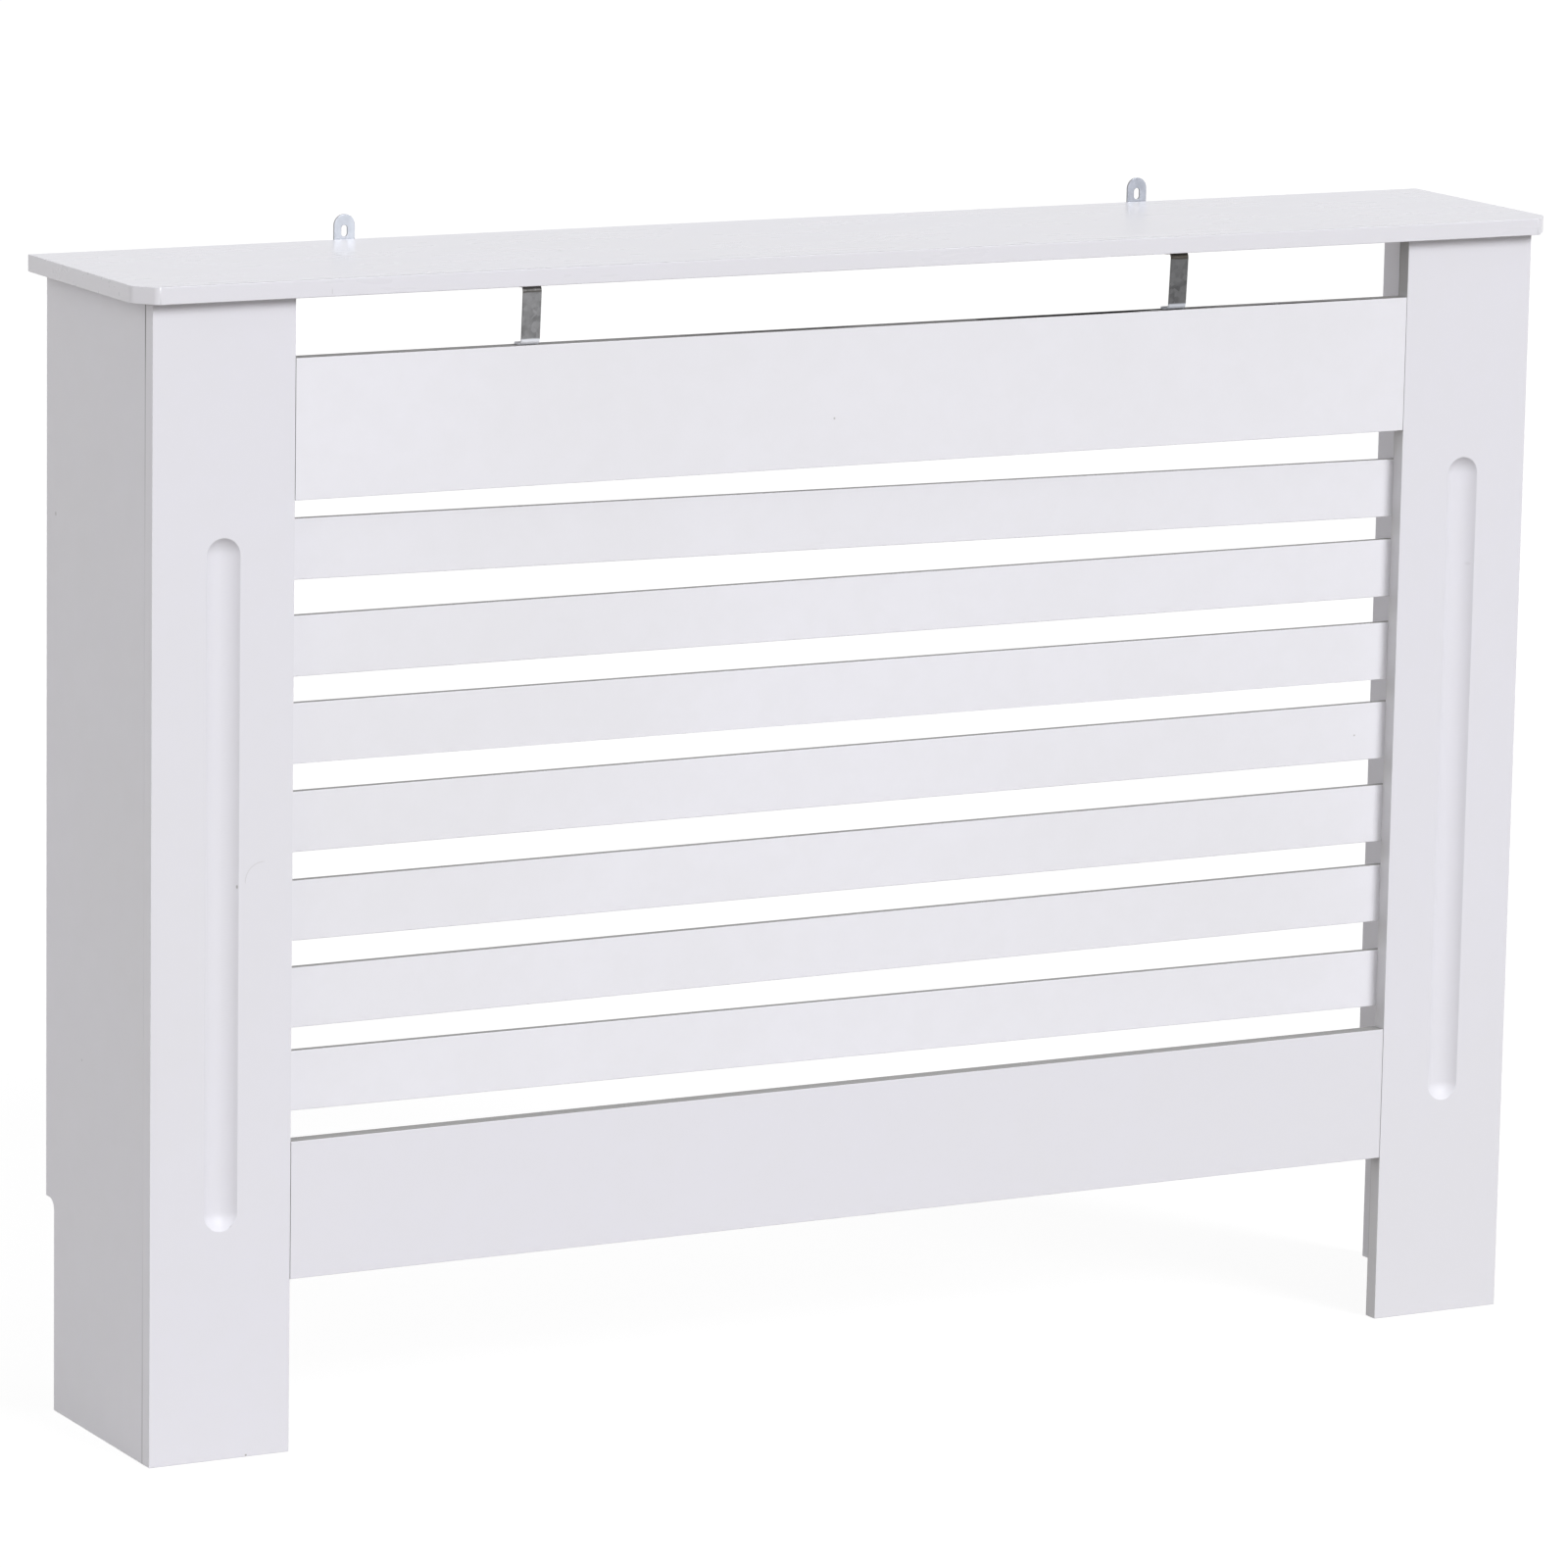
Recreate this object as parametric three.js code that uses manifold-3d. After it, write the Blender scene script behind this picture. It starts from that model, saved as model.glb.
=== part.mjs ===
// Radiator cover cabinet: a floor-standing slatted cabinet of painted board that hides a radiator.
// Millimetres. +X runs to the right, +Y towards the wall and +Z up.
// The origin is on the floor, under the middle of the cabinet.

import * as THREE from 'three';
import { mergeVertices } from 'three/addons/utils/BufferGeometryUtils.js';
import Module from 'manifold-3d';

const wasm = await Module();
wasm.setup();

// ---------------------------------------------------------------- driving dimensions

// Whole cabinet
const overallWidth = 1120;         // length of the top board
const overallHeight = 815;         // floor to the top of the top board

// Top board
const boardDepth = 190;
const boardThickness = 12;
const boardFrontRound = 0.5;       // on the front edge; the ends are cut square
const boardRearRound = 1;          // on the rear edge, which the wall tabs bend round
const cornerCutLength = 13;        // the two clipped front corners, along the front edge
const cornerCutDepth = 16;         // the same, along the ends
const cornerCutSoftening = 3;      // sanded bend at each end of a clipped corner
const endOverhang = 14;            // past each side panel
const frontOverhang = 10;          // past the pilasters

// Side panels
const sideThickness = 12;
const skirtingNotchDepth = 14;
const skirtingNotchHeight = 152;
const skirtingNotchRadius = 8;

// Front frame: pilasters and rails, flush with each other
const frontThickness = 12;
const pilasterWidth = 105;
const fluteWidth = 25;
const fluteDepth = 6;
const fluteLength = 480;
const railHeight = 97;
const floorGap = 122.5;            // floor to the lower rail
const outletGap = 42;              // upper rail to the top board
const frameJointGap = 0.3;         // glue line between a rail and a pilaster

// Slats, fixed to the backs of the pilasters
const slatCount = 7;
const slatHeight = 42;
const slatThickness = 6;
const slatEndGap = 2;              // short of the corner battens
const slatScrewInset = 18;         // from the inner edge of the pilaster
// How far each slat, the top one first, sits below an even spacing at the left and at the right
// pilaster: they are screwed on by hand, and the top one is the most askew.
const slatDrops = [[-4.5, 4], [1.5, 2], [1, 2.5], [1.5, 0.5], [2.5, 1.5], [2.5, 0.5], [0, 3.5]];

// Softwood battens in the front corners and cleats under the top board
const battenSize = 18;
const battenFloorGap = 20;
const battenTopGap = 5;
const battenScrewInset = 80;       // from each end of a batten
const cleatSize = 18;
const cleatFrontGap = 12;          // behind the corner batten
const cleatRearGap = 20;           // in front of the rear edge of the top board
const cleatScrewInset = 20;        // from each end of a cleat

// Galvanised straps between the upper rail and the top board
const strapSpacing = 512.8;        // centre to centre
const strapShift = -8.5;           // both are fixed to the left of the middle
const strapWidth = 14;
const strapThickness = 1.5;
const strapBendRadius = 3;         // inside the bend
const strapLegSetback = 0.3;       // foot of the leg, behind the front of the rail
const strapFootRearGap = 0.3;      // end of the foot, in front of the back of the rail
const strapLean = 2.5;             // how far the top of the leg comes forward
const strapFlangeLength = 28;
const strapFlangeScrewInset = 10;  // from the free end of the flange

// Zinc-plated wall tabs behind the rear edge of the top board
const tabSpacing = 640;            // centre to centre
const tabShift = -1.4;             // both are fixed a little to the left of the middle
const tabWidth = 16;
const tabThickness = 1.5;
const tabBendRadius = 1.2;         // inside the bend
const tabRise = 17.5;              // above the top board
const tabEdgeGap = 0.3;            // behind the top board's rear edge
const tabFlangeLength = 34;
const tabScrewInset = 7;           // from the free end of the flange
const tabScrewPitch = 13;
const tabSlotWidth = 4.6;
const tabSlotLength = 8.2;
const tabSlotDrop = 11.8;          // middle of the slot below the top of the tab

// Dowels between the rails and the pilasters
const dowelDiameter = 6;
const dowelLength = 40;
const dowelSpread = 30;            // above and below the middle of a rail
const dowelChamfer = 1;

// Screws
const screwBite = 7;               // length held by the last board it enters
const boardScrewDiameter = 3.5;
const boardScrewHead = 7;
const boardScrewHeadHeight = 2.2;
const flangeScrewHeadHeight = 2.4;
const footScrewDiameter = 3;
const footScrewHead = 5.4;
const footScrewBite = 14;          // in the top edge of the upper rail
const slatScrewDiameter = 3;
const slatScrewHead = 5.6;
const slatScrewHeadHeight = 2;
const recessWidth = 0.8;           // arms of the cross recess
const recessShare = 0.5;           // recess across, as a share of the head
const recessDepthShare = 0.55;     // recess depth, as a share of the head's height
const panRimShare = 0.4;           // height of a pan head's rim, as a share of the head's height
const panCrownShare = 0.7;         // flat top of a pan head, as a share of its radius

// Clearances
const fitGap = 0.25;               // around every screw and dowel
const endRelief = 1;               // past the end of every screw and dowel

// Facets
const screwSides = 12;
const bendSteps = 4;
const archSteps = 12;
const roundSteps = 6;
const fluteSides = 48;
const weldDistance = 1e-4;         // vertices closer than this are one vertex

// ---------------------------------------------------------------- places worked out from them

const overallDepth = boardDepth + tabEdgeGap + tabThickness;
const boardFrontY = -overallDepth / 2;
const boardRearY = boardFrontY + boardDepth;           // flush with the side panels' rear edges
const frontY = boardFrontY + frontOverhang;            // front of the pilasters and rails
const frameBackY = frontY + frontThickness;
const boardUnderZ = overallHeight - boardThickness;
const sideOuterX = overallWidth / 2 - endOverhang;
const sideInnerX = sideOuterX - sideThickness;
const pilasterInnerX = sideOuterX - pilasterWidth;
const pilasterMiddleX = sideOuterX - pilasterWidth / 2;
const railLength = 2 * (pilasterInnerX - frameJointGap);
const lowerRailZ = floorGap + railHeight / 2;
const upperRailTopZ = boardUnderZ - outletGap;
const upperRailZ = upperRailTopZ - railHeight / 2;
const slatFieldTop = upperRailZ - railHeight / 2;
const slatFieldHeight = slatFieldTop - (lowerRailZ + railHeight / 2);
const slatGap = (slatFieldHeight - slatCount * slatHeight) / (slatCount + 1);
const slatBackY = frameBackY + slatThickness;
const slatLength = 2 * (sideInnerX - battenSize - slatEndGap);
const slatScrewX = pilasterInnerX + slatScrewInset;
const battenX = sideInnerX - battenSize / 2;
const battenY = frameBackY + battenSize / 2;
const battenTopZ = boardUnderZ - battenTopGap;
const cleatX = sideInnerX - cleatSize / 2;
const cleatFrontY = frameBackY + battenSize + cleatFrontGap;
const cleatRearY = boardRearY - cleatRearGap;
const strapLegY = frontY + strapLegSetback + strapThickness / 2;
const strapFootFlatY = strapLegY + strapBendRadius + strapThickness / 2;
const strapFootEndY = frameBackY - strapFootRearGap;
const strapTopY = strapLegY - strapLean;
const strapFlangeEndY = strapTopY + strapFlangeLength;
const tabLegY = boardRearY + tabEdgeGap + tabThickness / 2;
const tabFlangeEndY = tabLegY - tabFlangeLength;
const tabTopZ = overallHeight + tabRise;
const sides = [['left', -1], ['right', 1]];

// ---------------------------------------------------------------- materials

function material(colour, roughness, metalness) {
  return new THREE.MeshStandardMaterial({ color: colour, roughness, metalness });
}
const whitePaint = material(0xe9e9ee, 0.4, 0);
const galvanised = material(0x77787b, 0.5, 0.9);
const zincPlate = material(0xd0d1d4, 0.4, 0.9);
const zincScrew = material(0xc4c3bc, 0.35, 1);
const softwood = material(0xd2b183, 0.75, 0);
const beech = material(0xc99f6c, 0.7, 0);

// ---------------------------------------------------------------- solids

// A closed geometry as a solid that can be joined and cut.
function toSolid(geometry) {
  const bare = geometry.clone();
  bare.deleteAttribute('normal');
  bare.deleteAttribute('uv');
  const merged = mergeVertices(bare, weldDistance);
  const corners = merged.index.array;
  const kept = [];
  for (let i = 0; i < corners.length; i += 3) {
    const [a, b, c] = corners.slice(i, i + 3);
    if (a !== b && b !== c && c !== a) {
      kept.push(a, b, c);
    }
  }
  const vertProperties = new Float32Array(merged.attributes.position.array);
  const triVerts = new Uint32Array(kept);
  return new wasm.Manifold(new wasm.Mesh({ numProp: 3, vertProperties, triVerts }));
}

function toGeometry(solid) {
  const mesh = solid.getMesh();
  const geometry = new THREE.BufferGeometry();
  geometry.setAttribute('position', new THREE.BufferAttribute(mesh.vertProperties, 3));
  geometry.setIndex(new THREE.BufferAttribute(mesh.triVerts, 1));
  geometry.computeVertexNormals();
  return geometry;
}

// geometry with each of the cutters taken out of it
function cut(geometry, cutters) {
  let solid = toSolid(geometry);
  for (const cutter of cutters) {
    solid = solid.subtract(toSolid(cutter));
  }
  return toGeometry(solid);
}

// A prism of a shape drawn in the Y-Z plane, from x = -width / 2 to x = width / 2.
function prismAlongX(shape, width) {
  const geometry = new THREE.ExtrudeGeometry(shape, {
    depth: width, bevelEnabled: false, curveSegments: roundSteps,
  });
  geometry.rotateX(Math.PI / 2);
  geometry.rotateZ(Math.PI / 2);
  return geometry.translate(-width / 2, 0, 0);
}

// A prism of a shape drawn in the X-Z plane, depth long and centred on middleY.
function prismAlongY(shape, depth, middleY) {
  const geometry = new THREE.ExtrudeGeometry(shape, {
    depth, bevelEnabled: false, curveSegments: archSteps,
  });
  geometry.rotateX(Math.PI / 2);
  return geometry.translate(0, middleY + depth / 2, 0);
}

// A turned body on the Z axis, from a profile of [radius, z] points, bottom first.
function turned(profile, segments) {
  const points = profile.map(([radius, z]) => new THREE.Vector2(radius, z));
  return new THREE.LatheGeometry(points, segments).rotateX(Math.PI / 2);
}

// A strip bent along a centre line of [y, z] corners, with the same radius inside each bend.
function bentStrip(corners, thickness, insideRadius, width) {
  const line = corners.map(([y, z]) => new THREE.Vector2(y, z));
  const middleRadius = insideRadius + thickness / 2;
  const upper = [];
  const lower = [];
  function station(point, direction) {
    const normal = new THREE.Vector2(-direction.y, direction.x).multiplyScalar(thickness / 2);
    upper.push(point.clone().add(normal));
    lower.unshift(point.clone().sub(normal));
  }
  const firstDirection = line[1].clone().sub(line[0]).normalize();
  station(line[0], firstDirection);
  for (let i = 1; i < line.length - 1; i += 1) {
    const before = line[i].clone().sub(line[i - 1]).normalize();
    const after = line[i + 1].clone().sub(line[i]).normalize();
    const turn = Math.atan2(before.cross(after), before.dot(after));
    const reach = middleRadius * Math.tan(Math.abs(turn) / 2);
    const start = line[i].clone().addScaledVector(before, -reach);
    const inward = new THREE.Vector2(-before.y, before.x).multiplyScalar(Math.sign(turn));
    const centre = start.clone().addScaledVector(inward, middleRadius);
    for (let step = 0; step <= bendSteps; step += 1) {
      const angle = (turn * step) / bendSteps;
      const point = start.clone().rotateAround(centre, angle);
      station(point, before.clone().rotateAround(new THREE.Vector2(), angle));
    }
  }
  const last = line.length - 1;
  station(line[last], line[last].clone().sub(line[last - 1]).normalize());
  return prismAlongX(new THREE.Shape([...upper, ...lower]), width);
}

// ---------------------------------------------------------------- screws and dowels

// Each kind points along -Z. A pan head sits on z = 0, and a countersunk head ends at z = 0.
const boardScrew = {
  diameter: boardScrewDiameter, head: boardScrewHead, headHeight: boardScrewHeadHeight,
  countersunk: true,
};
const flangeScrew = {
  diameter: boardScrewDiameter, head: boardScrewHead, headHeight: flangeScrewHeadHeight,
  countersunk: false,
};
const footScrew = {
  diameter: footScrewDiameter, head: footScrewHead, headHeight: strapThickness,
  countersunk: true,
};
const slatScrew = {
  diameter: slatScrewDiameter, head: slatScrewHead, headHeight: slatScrewHeadHeight,
  countersunk: false,
};

function screwGeometry(kind, length) {
  const radius = kind.diameter / 2;
  const headRadius = kind.head / 2;
  const profile = [[0, -length], [radius, -length + kind.diameter]];
  if (kind.countersunk) {
    profile.push([radius, -kind.headHeight], [headRadius, 0], [0, 0]);
  } else {
    const rim = kind.headHeight * panRimShare;
    const crown = headRadius * panCrownShare;
    profile.push([radius, 0], [headRadius, 0], [headRadius, rim]);
    profile.push([crown, kind.headHeight], [0, kind.headHeight]);
  }
  const top = kind.countersunk ? 0 : kind.headHeight;
  const recess = kind.headHeight * recessDepthShare;
  const span = kind.head * recessShare;
  const arms = [
    new THREE.BoxGeometry(span, recessWidth, 2 * recess),
    new THREE.BoxGeometry(recessWidth, span, 2 * recess),
  ];
  return cut(turned(profile, screwSides), arms.map((arm) => arm.translate(0, 0, top)));
}

// The hole for a screw, open past the head and a little deeper than the tip.
function screwHole(kind, length) {
  const radius = kind.diameter / 2 + fitGap;
  const mouth = kind.countersunk ? kind.head / 2 + fitGap : radius;
  const depth = length + endRelief;
  const profile = [[0, -depth], [radius, -depth + kind.diameter]];
  if (kind.countersunk) {
    profile.push([radius, -kind.headHeight - fitGap], [mouth, -fitGap]);
  }
  profile.push([mouth, endRelief], [0, endRelief]);
  return turned(profile, screwSides);
}

function dowelGeometry() {
  const radius = dowelDiameter / 2;
  const half = dowelLength / 2;
  return turned([
    [0, -half], [radius - dowelChamfer, -half], [radius, -half + dowelChamfer],
    [radius, half - dowelChamfer], [radius - dowelChamfer, half], [0, half],
  ], screwSides);
}

function dowelHole() {
  const radius = dowelDiameter / 2 + fitGap;
  const half = dowelLength / 2 + endRelief;
  return turned([[0, -half], [radius, -half], [radius, half], [0, half]], screwSides);
}

// Every fastener: where it is, which way it points and which pieces it goes through.
const fasteners = [];

function addFastener(name, body, hole, paint, at, direction, through) {
  const turn = new THREE.Quaternion().setFromUnitVectors(
    new THREE.Vector3(0, 0, -1), new THREE.Vector3(...direction),
  );
  const place = new THREE.Matrix4().compose(
    new THREE.Vector3(...at), turn, new THREE.Vector3(1, 1, 1),
  );
  fasteners.push({ name, body, hole, paint, at, turn, place, through });
}

function addScrew(name, kind, length, at, direction, through) {
  const body = screwGeometry(kind, length);
  addFastener(name, body, screwHole(kind, length), zincScrew, at, direction, through);
}

// ---------------------------------------------------------------- the cabinet

const cabinet = new THREE.Group();

// Adds one piece, with the holes for the fasteners that go through it.
function addPiece(name, geometry, paint, position, tilt = 0) {
  const mesh = new THREE.Mesh(geometry, paint);
  mesh.name = name;
  mesh.position.set(...position);
  mesh.rotation.y = tilt;
  mesh.updateMatrixWorld();
  const toLocal = mesh.matrixWorld.clone().invert();
  const holes = fasteners
    .filter((fastener) => fastener.through.includes(name))
    .map(({ hole, place }) => hole.clone().applyMatrix4(toLocal.clone().multiply(place)));
  if (holes.length > 0) {
    mesh.geometry = cut(geometry, holes);
  }
  cabinet.add(mesh);
}

function slatDrop(number) {
  return slatDrops[number - 1] ?? [0, 0];
}

function slatZ(number) {
  const [left, right] = slatDrop(number);
  const evenZ = slatFieldTop - number * slatGap - (number - 0.5) * slatHeight;
  return evenZ - (left + right) / 2;
}

function slatTilt(number) {
  const [left, right] = slatDrop(number);
  return Math.atan2(right - left, 2 * pilasterInnerX);
}

function placeSlatScrews() {
  const length = slatThickness + screwBite;
  for (let number = 1; number <= slatCount; number += 1) {
    for (const [side, sign] of sides) {
      const x = sign * slatScrewX;
      const z = slatZ(number) - x * Math.tan(slatTilt(number));
      const through = [`slat_${number}`, `pilaster_${side}`];
      const name = `slat_screw_${number}_${side}`;
      addScrew(name, slatScrew, length, [x, slatBackY, z], [0, -1, 0], through);
    }
  }
}

function placeRailDowels() {
  const y = (frontY + frameBackY) / 2;
  for (const [rail, railZ] of [['upper', upperRailZ], ['lower', lowerRailZ]]) {
    for (const [side, sign] of sides) {
      for (const [place, offset] of [['top', dowelSpread], ['bottom', -dowelSpread]]) {
        const at = [sign * (pilasterInnerX - frameJointGap / 2), y, railZ + offset];
        const name = `${rail}_rail_dowel_${side}_${place}`;
        const through = [`${rail}_rail`, `pilaster_${side}`];
        addFastener(name, dowelGeometry(), dowelHole(), beech, at, [sign, 0, 0], through);
      }
    }
  }
}

function placeBattenScrews() {
  const x = sideInnerX - battenSize;
  const heights = [['upper', battenTopZ - battenScrewInset],
    ['lower', battenFloorGap + battenScrewInset]];
  for (const [side, sign] of sides) {
    for (const [place, z] of heights) {
      const through = [`corner_batten_${side}`, `side_panel_${side}`];
      const name = `batten_screw_${side}_${place}`;
      const length = battenSize + screwBite;
      addScrew(name, boardScrew, length, [sign * x, battenY, z], [sign, 0, 0], through);
    }
  }
}

function placeCleatScrews() {
  const z = boardUnderZ - cleatSize;
  const places = [['front', cleatFrontY + cleatScrewInset],
    ['rear', cleatRearY - cleatScrewInset]];
  for (const [side, sign] of sides) {
    for (const [place, y] of places) {
      const through = [`top_cleat_${side}`, 'top_board'];
      const name = `cleat_screw_${side}_${place}`;
      const length = cleatSize + screwBite;
      addScrew(name, boardScrew, length, [sign * cleatX, y, z], [0, 0, 1], through);
    }
  }
}

function placeStrapScrews() {
  const footY = (strapFootFlatY + strapFootEndY) / 2;
  const footTopZ = upperRailTopZ + strapThickness;
  const flangeY = strapFlangeEndY - strapFlangeScrewInset;
  const flangeUnderZ = boardUnderZ - strapThickness;
  const footLength = strapThickness + footScrewBite;
  const flangeLength = strapThickness + screwBite;
  for (const [side, sign] of sides) {
    const strap = `front_strap_${side}`;
    const x = (sign * strapSpacing) / 2 + strapShift;
    addScrew(`strap_foot_screw_${side}`, footScrew, footLength,
      [x, footY, footTopZ], [0, 0, -1], [strap, 'upper_rail']);
    addScrew(`strap_flange_screw_${side}`, flangeScrew, flangeLength,
      [x, flangeY, flangeUnderZ], [0, 0, 1], [strap, 'top_board']);
  }
}

function placeTabScrews() {
  const z = boardUnderZ - tabThickness;
  const firstY = tabFlangeEndY + tabScrewInset;
  for (const [side, sign] of sides) {
    const x = (sign * tabSpacing) / 2 + tabShift;
    for (const [place, y] of [['front', firstY], ['rear', firstY + tabScrewPitch]]) {
      addScrew(`tab_screw_${side}_${place}`, flangeScrew, tabThickness + screwBite,
        [x, y, z], [0, 0, 1], [`wall_tab_${side}`, 'top_board']);
    }
  }
}

// Cross-section of the top board: its two long edges are rounded above and below.
function boardSection() {
  const front = boardFrontRound;
  const rear = boardRearRound;
  const right = Math.PI / 2;
  const shape = new THREE.Shape();
  shape.absarc(boardRearY - rear, boardThickness - rear, rear, 0, right, false);
  shape.absarc(boardFrontY + front, boardThickness - front, front, right, 2 * right, false);
  shape.absarc(boardFrontY + front, front, front, 2 * right, 3 * right, false);
  shape.absarc(boardRearY - rear, rear, rear, 3 * right, 4 * right, false);
  return shape;
}

// What is cut off at a front corner, with a sanded bend at each end of the cut.
function cornerCutter(sign) {
  const endX = overallWidth / 2;
  const cutX = endX - cornerCutLength;
  const cutY = boardFrontY + cornerCutDepth;
  const soft = cornerCutSoftening;
  const along = new THREE.Vector2(cornerCutLength, cornerCutDepth).setLength(soft);
  const shape = new THREE.Shape();
  shape.moveTo(endX + endRelief, cutY + soft);
  shape.lineTo(endX, cutY + soft);
  shape.quadraticCurveTo(endX, cutY, endX - along.x, cutY - along.y);
  shape.lineTo(cutX + along.x, boardFrontY + along.y);
  shape.quadraticCurveTo(cutX, boardFrontY, cutX - soft, boardFrontY);
  shape.lineTo(cutX - soft, boardFrontY - endRelief);
  shape.lineTo(endX + endRelief, boardFrontY - endRelief);
  const depth = boardThickness + 2 * endRelief;
  const geometry = new THREE.ExtrudeGeometry(shape, {
    depth, bevelEnabled: false, curveSegments: roundSteps,
  });
  if (sign < 0) {
    geometry.rotateY(Math.PI);
    geometry.translate(0, 0, depth);
  }
  return geometry.translate(0, 0, -endRelief);
}

function addTopBoard() {
  const slab = prismAlongX(boardSection(), overallWidth);
  const geometry = cut(slab, sides.map(([, sign]) => cornerCutter(sign)));
  addPiece('top_board', geometry, whitePaint, [0, 0, boardUnderZ]);
}

// Side panel, notched at the bottom rear for the skirting board.
function addSidePanel(side, sign) {
  const notchY = boardRearY - skirtingNotchDepth;
  const coveY = notchY + skirtingNotchRadius;
  const coveZ = skirtingNotchHeight - skirtingNotchRadius;
  const shape = new THREE.Shape();
  shape.moveTo(frameBackY, 0);
  shape.lineTo(notchY, 0);
  shape.lineTo(notchY, coveZ);
  shape.absarc(coveY, coveZ, skirtingNotchRadius, Math.PI, Math.PI / 2, true);
  shape.lineTo(boardRearY, skirtingNotchHeight);
  shape.lineTo(boardRearY, boardUnderZ);
  shape.lineTo(frameBackY, boardUnderZ);
  const x = sign * (sideOuterX - sideThickness / 2);
  addPiece(`side_panel_${side}`, prismAlongX(shape, sideThickness), whitePaint, [x, 0, 0]);
}

// Pilaster with a stopped flute down the middle of its front.
function addPilaster(side, sign) {
  const slab = new THREE.BoxGeometry(pilasterWidth, frontThickness, boardUnderZ);
  const cutterRadius = (fluteWidth ** 2 / 4 + fluteDepth ** 2) / (2 * fluteDepth);
  const flute = new THREE.CapsuleGeometry(
    cutterRadius, fluteLength - fluteWidth, fluteSides / 4, fluteSides,
  );
  flute.rotateX(Math.PI / 2);
  flute.translate(0, -frontThickness / 2 + fluteDepth - cutterRadius, 0);
  const y = frontY + frontThickness / 2;
  const position = [sign * pilasterMiddleX, y, boardUnderZ / 2];
  addPiece(`pilaster_${side}`, cut(slab, [flute]), whitePaint, position);
}

function addRail(name, z) {
  const geometry = new THREE.BoxGeometry(railLength, frontThickness, railHeight);
  addPiece(name, geometry, whitePaint, [0, frontY + frontThickness / 2, z]);
}

function addSlats() {
  for (let number = 1; number <= slatCount; number += 1) {
    const geometry = new THREE.BoxGeometry(slatLength, slatThickness, slatHeight);
    const position = [0, frameBackY + slatThickness / 2, slatZ(number)];
    addPiece(`slat_${number}`, geometry, whitePaint, position, slatTilt(number));
  }
}

function addCornerBatten(side, sign) {
  const length = battenTopZ - battenFloorGap;
  const geometry = new THREE.BoxGeometry(battenSize, battenSize, length);
  const position = [sign * battenX, battenY, battenFloorGap + length / 2];
  addPiece(`corner_batten_${side}`, geometry, softwood, position);
}

function addTopCleat(side, sign) {
  const geometry = new THREE.BoxGeometry(cleatSize, cleatRearY - cleatFrontY, cleatSize);
  const position = [sign * cleatX, (cleatFrontY + cleatRearY) / 2, boardUnderZ - cleatSize / 2];
  addPiece(`top_cleat_${side}`, geometry, softwood, position);
}

// Foot on the top edge of the upper rail, leg up to the top board and flange under the board.
// The foot and the flange both point to the back.
function addFrontStrap(side, sign) {
  const footZ = upperRailTopZ + strapThickness / 2;
  const flangeZ = boardUnderZ - strapThickness / 2;
  const geometry = bentStrip([
    [strapFootEndY, footZ],
    [strapLegY, footZ],
    [strapTopY, flangeZ],
    [strapFlangeEndY, flangeZ],
  ], strapThickness, strapBendRadius, strapWidth);
  const position = [(sign * strapSpacing) / 2 + strapShift, 0, 0];
  addPiece(`front_strap_${side}`, geometry, galvanised, position);
}

// Flange under the top board and a slotted ear with a round top behind its rear edge.
function addWallTab(side, sign) {
  const flangeZ = boardUnderZ - tabThickness / 2;
  const strip = bentStrip([
    [tabFlangeEndY, flangeZ],
    [tabLegY, flangeZ],
    [tabLegY, tabTopZ],
  ], tabThickness, tabBendRadius, tabWidth);
  const half = tabWidth / 2;
  const earFootZ = boardUnderZ - tabThickness - endRelief;
  const ear = new THREE.Shape();
  ear.moveTo(half, earFootZ);
  ear.lineTo(half, tabTopZ - half);
  ear.absarc(0, tabTopZ - half, half, 0, Math.PI, false);
  ear.lineTo(-half, earFootZ);
  const earDepth = 2 * (tabFlangeLength + tabThickness);
  const envelope = prismAlongY(ear, earDepth, tabLegY);
  const slotHalf = tabSlotWidth / 2;
  const slotReach = tabSlotLength / 2 - slotHalf;
  const slotZ = tabTopZ - tabSlotDrop;
  const slot = new THREE.Shape();
  slot.absarc(0, slotZ + slotReach, slotHalf, 0, Math.PI, false);
  slot.absarc(0, slotZ - slotReach, slotHalf, Math.PI, 2 * Math.PI, false);
  const slotCutter = prismAlongY(slot, 4 * tabThickness, tabLegY);
  const shaped = toSolid(strip).intersect(toSolid(envelope)).subtract(toSolid(slotCutter));
  const position = [(sign * tabSpacing) / 2 + tabShift, 0, 0];
  addPiece(`wall_tab_${side}`, toGeometry(shaped), zincPlate, position);
}

function addFasteners() {
  for (const { name, body, paint, at, turn } of fasteners) {
    const mesh = new THREE.Mesh(body, paint);
    mesh.name = name;
    mesh.position.set(...at);
    mesh.quaternion.copy(turn);
    cabinet.add(mesh);
  }
}

placeSlatScrews();
placeRailDowels();
placeBattenScrews();
placeCleatScrews();
placeStrapScrews();
placeTabScrews();

addTopBoard();
addRail('upper_rail', upperRailZ);
addRail('lower_rail', lowerRailZ);
addSlats();
for (const [side, sign] of sides) {
  addSidePanel(side, sign);
  addPilaster(side, sign);
  addCornerBatten(side, sign);
  addTopCleat(side, sign);
  addFrontStrap(side, sign);
  addWallTab(side, sign);
}
addFasteners();

export default cabinet;
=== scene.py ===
"""Looks of the radiator cover cabinet: paint, metal, wood, light and camera round its fixed frame.

Metres, with +X to the right, +Y towards the wall, +Z up, and the origin on the floor.
"""

import math

import bpy
from mathutils import Matrix, Vector


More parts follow.
